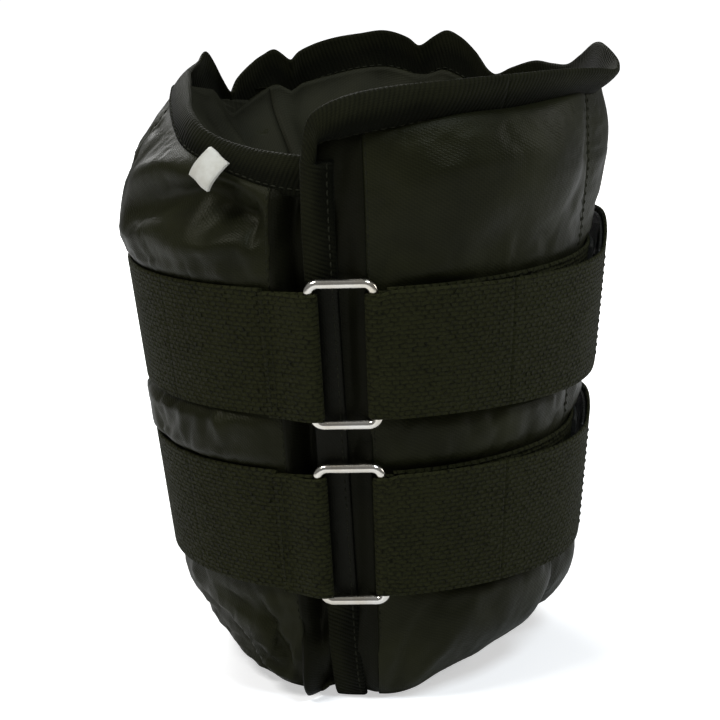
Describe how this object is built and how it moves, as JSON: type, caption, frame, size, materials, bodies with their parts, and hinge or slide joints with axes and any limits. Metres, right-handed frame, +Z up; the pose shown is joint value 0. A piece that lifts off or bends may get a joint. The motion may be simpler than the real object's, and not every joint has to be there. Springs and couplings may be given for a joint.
{
  "type": "wrap-round sandbag",
  "caption": "Wrap-round sandbag weight: sand-filled pads in a black nylon cuff, closed by webbing straps that fold back through wire rings.",
  "frame": {"origin": "centre of the cuff's standing ring, on the floor", "axes": "+Z up along the cuff's axis, -Y out through the closure and its rings, +X to the right as seen from the front"},
  "size_m": [0.1966, 0.1956, 0.24],
  "materials": {
    "cover_cloth": "black coated nylon oxford with a fine slanting weave, dull sheen",
    "lining_cloth": "black nylon, smoother than the cover",
    "pouch_film": "translucent polyethylene film",
    "sand": "dry washed sand",
    "grosgrain_tape": "black grosgrain tape, ribbed across its width",
    "webbing": "black polypropylene webbing with a coarse weave",
    "nickel_wire": "polished nickel plate on steel wire",
    "hook_tape": "black nylon hooks",
    "loop_tape": "black nylon loops, brushed",
    "label_tape": "white satin tape, blank"
  },
  "bodies": {
    "right_front_pad": {"outer_cover_right_front": "cover_cloth", "inner_lining_right_front": "lining_cloth", "sand_pouch_right_front": "pouch_film", "sand_fill_right_front": "sand", "top_binding_right_front": "grosgrain_tape", "bottom_binding_right_front": "grosgrain_tape", "upper_strap_right_front": "webbing", "lower_strap_right_front": "webbing", "right_flap": "cover_cloth", "right_flap_binding": "grosgrain_tape", "upper_strap_bight": "webbing", "lower_strap_bight": "webbing"},
    "right_back_pad": {"outer_cover_right_back": "cover_cloth", "inner_lining_right_back": "lining_cloth", "sand_pouch_right_back": "pouch_film", "sand_fill_right_back": "sand", "top_binding_right_back": "grosgrain_tape", "bottom_binding_right_back": "grosgrain_tape", "upper_strap_right_back": "webbing", "lower_strap_right_back": "webbing", "upper_loop_patch": "loop_tape", "lower_loop_patch": "loop_tape"},
    "back_pad": {"outer_cover_back": "cover_cloth", "inner_lining_back": "lining_cloth", "sand_pouch_back": "pouch_film", "sand_fill_back": "sand", "top_binding_back": "grosgrain_tape", "bottom_binding_back": "grosgrain_tape", "upper_strap_back": "webbing", "lower_strap_back": "webbing"},
    "left_back_pad": {"outer_cover_left_back": "cover_cloth", "inner_lining_left_back": "lining_cloth", "sand_pouch_left_back": "pouch_film", "sand_fill_left_back": "sand", "top_binding_left_back": "grosgrain_tape", "bottom_binding_left_back": "grosgrain_tape", "upper_strap_left_back": "webbing", "lower_strap_left_back": "webbing"},
    "left_front_pad": {"outer_cover_left_front": "cover_cloth", "inner_lining_left_front": "lining_cloth", "sand_pouch_left_front": "pouch_film", "sand_fill_left_front": "sand", "top_binding_left_front": "grosgrain_tape", "bottom_binding_left_front": "grosgrain_tape", "upper_strap_left_front": "webbing", "lower_strap_left_front": "webbing", "left_flap": "cover_cloth", "left_flap_binding": "grosgrain_tape", "upper_ring_tab": "webbing", "lower_ring_tab": "webbing", "care_label": "label_tape"},
    "upper_ring": {"upper_ring": "nickel_wire"},
    "upper_tail_front": {"upper_tail_front": "webbing"},
    "upper_tail_end": {"upper_tail_end": "webbing", "upper_hook_patch": "hook_tape"},
    "lower_ring": {"lower_ring": "nickel_wire"},
    "lower_tail_front": {"lower_tail_front": "webbing"},
    "lower_tail_end": {"lower_tail_end": "webbing", "lower_hook_patch": "hook_tape"}
  },
  "joints": [
    {"name": "wrap_open", "type": "hinge", "parent": "back_pad", "child": "right_back_pad", "pos_m": [0.05518, 0.0679, 0.12], "axis": [0.0628, 0.0772, 0.995], "range_deg": [0, 67], "deforming": ["upper_strap_bight", "lower_strap_bight"]},
    {"name": "right_front_seam", "type": "hinge", "parent": "right_back_pad", "child": "right_front_pad", "pos_m": [0.08377, -0.02529, 0.12], "axis": [0.0953, -0.0288, 0.995], "range_deg": [0, 67]},
    {"name": "left_back_seam", "type": "hinge", "parent": "back_pad", "child": "left_back_pad", "pos_m": [-0.04189, 0.07682, 0.12], "axis": [0.0476, -0.0874, -0.995], "range_deg": [0, 67]},
    {"name": "left_front_seam", "type": "hinge", "parent": "left_back_pad", "child": "left_front_pad", "pos_m": [-0.08697, -0.0096, 0.12], "axis": [0.0989, 0.0109, -0.995], "range_deg": [0, 67]},
    {"name": "upper_ring_swing", "type": "hinge", "parent": "left_front_pad", "child": "upper_ring", "pos_m": [-0.0119, -0.093, 0.14588], "axis": [0, 0.0995, -0.995], "range_deg": [0, 40]},
    {"name": "upper_tail_peel", "type": "hinge", "parent": "right_front_pad", "child": "upper_tail_front", "pos_m": [0.01425, -0.09472, 0.14588], "axis": [-0.0148, 0.0984, -0.995], "range_deg": [0, 90]},
    {"name": "upper_tail_seam", "type": "hinge", "parent": "upper_tail_front", "child": "upper_tail_end", "pos_m": [0.08624, -0.02604, 0.14588], "axis": [-0.0953, 0.0288, -0.995], "range_deg": [0, 67]},
    {"name": "lower_ring_swing", "type": "hinge", "parent": "left_front_pad", "child": "lower_ring", "pos_m": [-0.0119, -0.08573, 0.07388], "axis": [0, 0.0995, -0.995], "range_deg": [0, 40]},
    {"name": "lower_tail_peel", "type": "hinge", "parent": "right_front_pad", "child": "lower_tail_front", "pos_m": [0.01422, -0.08744, 0.07388], "axis": [-0.016, 0.0982, -0.995], "range_deg": [0, 90]},
    {"name": "lower_tail_seam", "type": "hinge", "parent": "lower_tail_front", "child": "lower_tail_end", "pos_m": [0.07935, -0.02396, 0.07388], "axis": [-0.0953, 0.0288, -0.995], "range_deg": [0, 67]}
  ],
  "couplings": [
    {"joint": "right_front_seam", "follows": "wrap_open", "ratio": 1},
    {"joint": "left_back_seam", "follows": "wrap_open", "ratio": 1},
    {"joint": "left_front_seam", "follows": "wrap_open", "ratio": 1},
    {"joint": "upper_ring_swing", "follows": "wrap_open", "ratio": 0.597},
    {"joint": "upper_tail_seam", "follows": "wrap_open", "ratio": 1},
    {"joint": "lower_ring_swing", "follows": "wrap_open", "ratio": 0.597},
    {"joint": "lower_tail_seam", "follows": "wrap_open", "ratio": 1}
  ]
}
